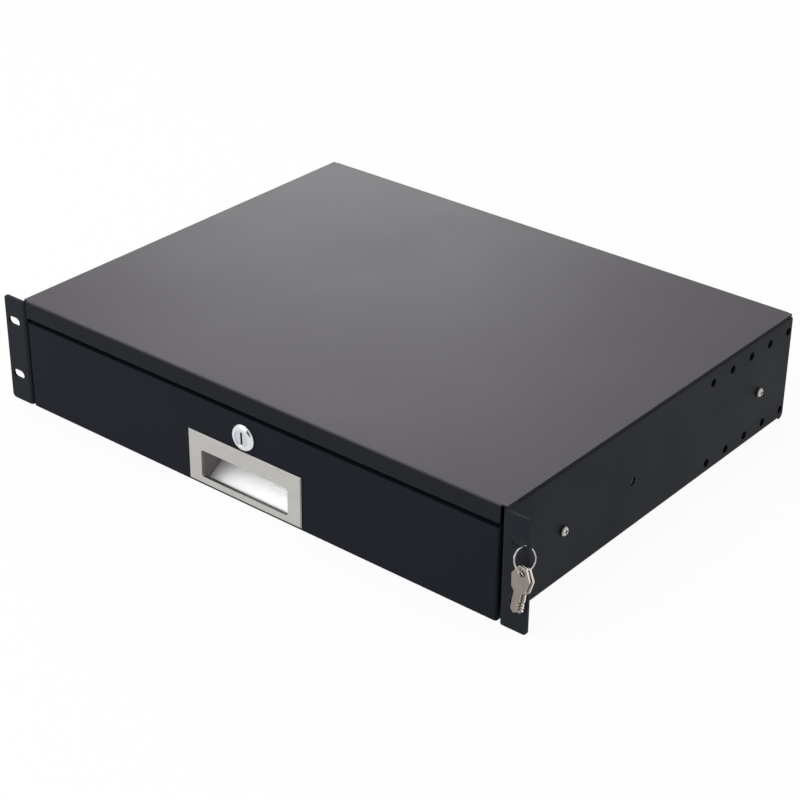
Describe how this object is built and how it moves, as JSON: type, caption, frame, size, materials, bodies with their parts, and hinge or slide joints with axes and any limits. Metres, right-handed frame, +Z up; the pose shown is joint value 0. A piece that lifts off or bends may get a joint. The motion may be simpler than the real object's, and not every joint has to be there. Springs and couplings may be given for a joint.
{
  "type": "sliding rack drawer",
  "caption": "Two-unit rack drawer that slides out of a sheet metal case on telescopic ball slides, with a flush pull, a cam lock and its keys hung from one rack ear",
  "frame": {"origin": "centre of the four rack slots, on the front face of the rack ears", "axes": "+X to the right along the front, +Y from the front to the back, +Z up"},
  "size_m": [0.489, 0.36, 0.0872],
  "materials": {
    "black_powder": "satin black textured powder coat",
    "drawer_powder": "satin black textured powder coat",
    "zinc_slide": "bright zinc plated rolled steel",
    "cage_zinc": "zinc plated thin sheet",
    "ball_steel": "polished ball steel",
    "bumper_plastic": "moulded black plastic",
    "lever_plastic": "moulded black plastic",
    "rivet_zinc": "zinc plated steel",
    "yellow_zinc": "pale yellow passivated zinc",
    "bezel_nickel": "brushed nickel plate",
    "cup_chrome": "bright plated",
    "handle_zinc": "bright zinc plated",
    "lock_chrome": "bright chrome plate",
    "plug_nickel": "satin nickel plate",
    "lock_zinc": "zinc plated steel",
    "ring_nickel": "nickel plated spring wire",
    "key_nickel": "nickel plated brass"
  },
  "bodies": {
    "case": {"side_plate_right": "black_powder", "side_plate_left": "black_powder", "top_cover": "black_powder", "lock_strike": "black_powder", "slide_cabinet_member_right": "zinc_slide", "slide_cabinet_member_left": "zinc_slide", "case_screws_right": "yellow_zinc", "case_screws_left": "yellow_zinc", "slide_bumper_right": "bumper_plastic", "slide_bumper_left": "bumper_plastic"},
    "drawer": {"drawer_tray": "drawer_powder", "drawer_front": "drawer_powder", "slide_drawer_member_right": "zinc_slide", "slide_drawer_member_left": "zinc_slide", "tray_screws_right": "yellow_zinc", "tray_screws_left": "yellow_zinc", "lever_rivet_right": "rivet_zinc", "lever_rivet_left": "rivet_zinc", "front_screws": "yellow_zinc", "handle_bezel": "bezel_nickel", "handle_cup": "cup_chrome", "handle_nuts": "handle_zinc", "lock_housing": "lock_chrome", "lock_nut": "lock_zinc"},
    "middle_right": {"slide_middle_member_right": "zinc_slide"},
    "outer_cage_right": {"slide_outer_cage_right": "cage_zinc", "slide_outer_balls_right": "ball_steel"},
    "inner_cage_right": {"slide_inner_cage_right": "cage_zinc", "slide_inner_balls_right": "ball_steel"},
    "lever_right": {"release_lever_right": "lever_plastic"},
    "middle_left": {"slide_middle_member_left": "zinc_slide"},
    "outer_cage_left": {"slide_outer_cage_left": "cage_zinc", "slide_outer_balls_left": "ball_steel"},
    "inner_cage_left": {"slide_inner_cage_left": "cage_zinc", "slide_inner_balls_left": "ball_steel"},
    "lever_left": {"release_lever_left": "lever_plastic"},
    "lock": {"lock_plug": "plug_nickel", "lock_cam": "lock_zinc", "cam_screw": "lock_zinc"},
    "key_ring": {"key_ring": "ring_nickel"},
    "key_front": {"key_front": "key_nickel"},
    "key_rear": {"key_rear": "key_nickel"}
  },
  "joints": [
    {"name": "drawer_slide", "type": "slide", "parent": "case", "child": "drawer", "axis": [0, -1, 0], "range_m": [0, 0.298]},
    {"name": "middle_right_slide", "type": "slide", "parent": "case", "child": "middle_right", "axis": [0, -1, 0], "range_m": [0, 0.149]},
    {"name": "outer_cage_right_slide", "type": "slide", "parent": "case", "child": "outer_cage_right", "axis": [0, -1, 0], "range_m": [0, 0.0745]},
    {"name": "inner_cage_right_slide", "type": "slide", "parent": "case", "child": "inner_cage_right", "axis": [0, -1, 0], "range_m": [0, 0.2235]},
    {"name": "lever_right_tilt", "type": "hinge", "parent": "drawer", "child": "lever_right", "pos_m": [0.2119, 0.19, -0.0053], "axis": [1, 0, 0], "range_deg": [-5, 5], "stiffness_Nm_per_rad": 0.05},
    {"name": "middle_left_slide", "type": "slide", "parent": "case", "child": "middle_left", "axis": [0, -1, 0], "range_m": [0, 0.149]},
    {"name": "outer_cage_left_slide", "type": "slide", "parent": "case", "child": "outer_cage_left", "axis": [0, -1, 0], "range_m": [0, 0.0745]},
    {"name": "inner_cage_left_slide", "type": "slide", "parent": "case", "child": "inner_cage_left", "axis": [0, -1, 0], "range_m": [0, 0.2235]},
    {"name": "lever_left_tilt", "type": "hinge", "parent": "drawer", "child": "lever_left", "pos_m": [-0.2119, 0.19, -0.0053], "axis": [1, 0, 0], "range_deg": [-5, 5], "stiffness_Nm_per_rad": 0.05},
    {"name": "lock_turn", "type": "hinge", "parent": "drawer", "child": "lock", "pos_m": [0, 0.01, 0.01], "axis": [0, 1, 0], "range_deg": [0, 90]},
    {"name": "ring_swing", "type": "hinge", "parent": "case", "child": "key_ring", "pos_m": [0.23669, 0.00096, 0.02105], "axis": [-0.3591, -0.9054, 0.2263], "range_deg": [0, 30]},
    {"name": "key_front_swing", "type": "hinge", "parent": "key_ring", "child": "key_front", "pos_m": [0.24015, -0.00588, 0.00712], "axis": [0, 1, 0], "range_deg": [-20, 20]},
    {"name": "key_rear_swing", "type": "hinge", "parent": "key_ring", "child": "key_rear", "pos_m": [0.24113, -0.00355, 0.00638], "axis": [0, 1, 0], "range_deg": [-20, 20]}
  ],
  "couplings": [
    {"joint": "middle_right_slide", "follows": "drawer_slide", "ratio": 0.5},
    {"joint": "outer_cage_right_slide", "follows": "drawer_slide", "ratio": 0.25},
    {"joint": "inner_cage_right_slide", "follows": "drawer_slide", "ratio": 0.75},
    {"joint": "middle_left_slide", "follows": "drawer_slide", "ratio": 0.5},
    {"joint": "outer_cage_left_slide", "follows": "drawer_slide", "ratio": 0.25},
    {"joint": "inner_cage_left_slide", "follows": "drawer_slide", "ratio": 0.75}
  ]
}
